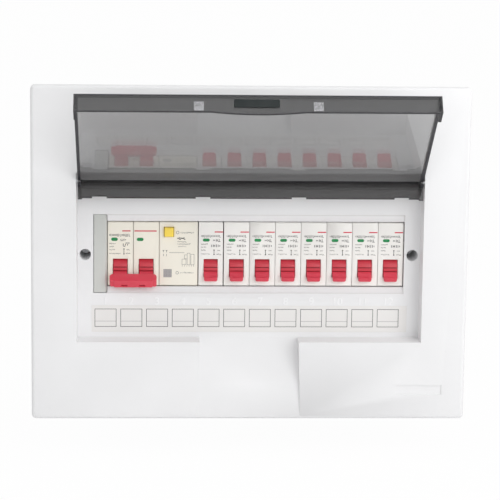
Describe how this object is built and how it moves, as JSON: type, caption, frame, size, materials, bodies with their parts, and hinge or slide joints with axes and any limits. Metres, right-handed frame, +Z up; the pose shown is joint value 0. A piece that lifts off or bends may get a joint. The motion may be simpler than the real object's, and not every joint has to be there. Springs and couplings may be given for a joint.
{
  "type": "breaker panel box",
  "caption": "Flush-mounted consumer unit: wall box, front cover with a smoked lift-up flap, rail with toggle breakers and a residual current device",
  "frame": {"origin": "middle of the rear face of the wall box, where it meets the wall", "axes": "+X to the right seen from the front, +Y into the wall, +Z up; the front looks along -Y"},
  "size_m": [0.302, 0.1881, 0.2358],
  "materials": {
    "wall_box_plastic": "matt grey moulding",
    "cover_plastic": "white semi-gloss moulding",
    "smoke_plastic": "smoke-tinted clear, polished",
    "zinc_steel": "zinc plated",
    "brass": "drawn bar",
    "copper": "bare copper strip",
    "cream_plastic": "fine matt moulding",
    "white_plastic": "fine matt moulding",
    "red_plastic": "satin moulding",
    "black_plastic": "matt moulding",
    "yellow_plastic": "satin moulding",
    "grey_plastic": "matt moulding",
    "label_paper": "matt coated label",
    "plate_green": "enamelled plate",
    "blue_plastic": "matt moulding",
    "green_plastic": "matt moulding"
  },
  "bodies": {
    "box": {"back_box": "wall_box_plastic", "front_cover": "cover_plastic", "blanking_strip": "grey_plastic", "label_strip": "label_paper", "cover_screw_left": "zinc_steel", "cover_screw_right": "zinc_steel", "din_rail": "zinc_steel", "rail_screw_left": "zinc_steel", "rail_screw_right": "zinc_steel", "neutral_bar": "brass", "neutral_bar_holder": "blue_plastic", "neutral_holder_screw_left": "zinc_steel", "neutral_holder_screw_right": "zinc_steel", "earth_bar": "brass", "earth_bar_holder": "green_plastic", "earth_holder_screw_left": "zinc_steel", "earth_holder_screw_right": "zinc_steel", "comb_busbar": "copper", "comb_cover": "grey_plastic", "main_pole_1": "cream_plastic", "main_pole_2": "cream_plastic", "rcd_housing": "cream_plastic", "mcb_1": "white_plastic", "mcb_2": "white_plastic", "mcb_3": "white_plastic", "mcb_4": "white_plastic", "mcb_5": "white_plastic", "mcb_6": "white_plastic", "mcb_7": "white_plastic", "mcb_8": "white_plastic"},
    "flap": {"door": "smoke_plastic", "hinge_pin_left": "zinc_steel", "hinge_pin_right": "zinc_steel", "name_plate": "plate_green"},
    "main_switch": {"main_lever_1": "red_plastic", "main_lever_2": "red_plastic", "main_tie_bar": "red_plastic"},
    "test_button": {"rcd_test_button": "yellow_plastic"},
    "toggle_1": {"mcb_lever_1": "red_plastic"},
    "toggle_2": {"mcb_lever_2": "red_plastic"},
    "toggle_3": {"mcb_lever_3": "red_plastic"},
    "toggle_4": {"mcb_lever_4": "red_plastic"},
    "toggle_5": {"mcb_lever_5": "red_plastic"},
    "toggle_6": {"mcb_lever_6": "red_plastic"},
    "toggle_7": {"mcb_lever_7": "red_plastic"},
    "toggle_8": {"mcb_lever_8": "red_plastic"},
    "main_clip_1_slider": {"main_clip_1": "black_plastic"},
    "main_clip_2_slider": {"main_clip_2": "black_plastic"},
    "rcd_clip_slider": {"rcd_clip": "black_plastic"},
    "mcb_clip_1_slider": {"mcb_clip_1": "black_plastic"},
    "mcb_clip_2_slider": {"mcb_clip_2": "black_plastic"},
    "mcb_clip_3_slider": {"mcb_clip_3": "black_plastic"},
    "mcb_clip_4_slider": {"mcb_clip_4": "black_plastic"},
    "mcb_clip_5_slider": {"mcb_clip_5": "black_plastic"},
    "mcb_clip_6_slider": {"mcb_clip_6": "black_plastic"},
    "mcb_clip_7_slider": {"mcb_clip_7": "black_plastic"},
    "mcb_clip_8_slider": {"mcb_clip_8": "black_plastic"}
  },
  "joints": [
    {"name": "flap_hinge", "type": "hinge", "parent": "box", "child": "flap", "pos_m": [0, -0.0924, 0.0504], "axis": [1, 0, 0], "range_deg": [0, 127.1]},
    {"name": "main_switch_turn", "type": "hinge", "parent": "box", "child": "main_switch", "pos_m": [-0.0808, -0.0712, -0.0128], "axis": [-1, 0, 0], "range_deg": [0, 70]},
    {"name": "toggle_1_turn", "type": "hinge", "parent": "box", "child": "toggle_1", "pos_m": [-0.0268, -0.0712, -0.0128], "axis": [-1, 0, 0], "range_deg": [0, 70]},
    {"name": "toggle_2_turn", "type": "hinge", "parent": "box", "child": "toggle_2", "pos_m": [-0.0088, -0.0712, -0.0128], "axis": [-1, 0, 0], "range_deg": [0, 70]},
    {"name": "toggle_3_turn", "type": "hinge", "parent": "box", "child": "toggle_3", "pos_m": [0.0092, -0.0712, -0.0128], "axis": [-1, 0, 0], "range_deg": [0, 70]},
    {"name": "toggle_4_turn", "type": "hinge", "parent": "box", "child": "toggle_4", "pos_m": [0.0272, -0.0712, -0.0128], "axis": [-1, 0, 0], "range_deg": [0, 70]},
    {"name": "toggle_5_turn", "type": "hinge", "parent": "box", "child": "toggle_5", "pos_m": [0.0452, -0.0712, -0.0128], "axis": [-1, 0, 0], "range_deg": [0, 70]},
    {"name": "toggle_6_turn", "type": "hinge", "parent": "box", "child": "toggle_6", "pos_m": [0.0632, -0.0712, -0.0128], "axis": [-1, 0, 0], "range_deg": [0, 70]},
    {"name": "toggle_7_turn", "type": "hinge", "parent": "box", "child": "toggle_7", "pos_m": [0.0812, -0.0712, -0.0128], "axis": [-1, 0, 0], "range_deg": [0, 70]},
    {"name": "toggle_8_turn", "type": "hinge", "parent": "box", "child": "toggle_8", "pos_m": [0.0992, -0.0712, -0.0128], "axis": [-1, 0, 0], "range_deg": [0, 70]},
    {"name": "test_button_press", "type": "slide", "parent": "box", "child": "test_button", "axis": [0, 1, 0], "range_m": [0, 0.002], "stiffness_N_per_m": 600, "springref_m": -0.001},
    {"name": "main_clip_1_pull", "type": "slide", "parent": "box", "child": "main_clip_1_slider", "axis": [0, 0, -1], "range_m": [0, 0.004]},
    {"name": "main_clip_2_pull", "type": "slide", "parent": "box", "child": "main_clip_2_slider", "axis": [0, 0, -1], "range_m": [0, 0.004]},
    {"name": "rcd_clip_pull", "type": "slide", "parent": "box", "child": "rcd_clip_slider", "axis": [0, 0, -1], "range_m": [0, 0.004]},
    {"name": "mcb_clip_1_pull", "type": "slide", "parent": "box", "child": "mcb_clip_1_slider", "axis": [0, 0, -1], "range_m": [0, 0.004]},
    {"name": "mcb_clip_2_pull", "type": "slide", "parent": "box", "child": "mcb_clip_2_slider", "axis": [0, 0, -1], "range_m": [0, 0.004]},
    {"name": "mcb_clip_3_pull", "type": "slide", "parent": "box", "child": "mcb_clip_3_slider", "axis": [0, 0, -1], "range_m": [0, 0.004]},
    {"name": "mcb_clip_4_pull", "type": "slide", "parent": "box", "child": "mcb_clip_4_slider", "axis": [0, 0, -1], "range_m": [0, 0.004]},
    {"name": "mcb_clip_5_pull", "type": "slide", "parent": "box", "child": "mcb_clip_5_slider", "axis": [0, 0, -1], "range_m": [0, 0.004]},
    {"name": "mcb_clip_6_pull", "type": "slide", "parent": "box", "child": "mcb_clip_6_slider", "axis": [0, 0, -1], "range_m": [0, 0.004]},
    {"name": "mcb_clip_7_pull", "type": "slide", "parent": "box", "child": "mcb_clip_7_slider", "axis": [0, 0, -1], "range_m": [0, 0.004]},
    {"name": "mcb_clip_8_pull", "type": "slide", "parent": "box", "child": "mcb_clip_8_slider", "axis": [0, 0, -1], "range_m": [0, 0.004]}
  ]
}
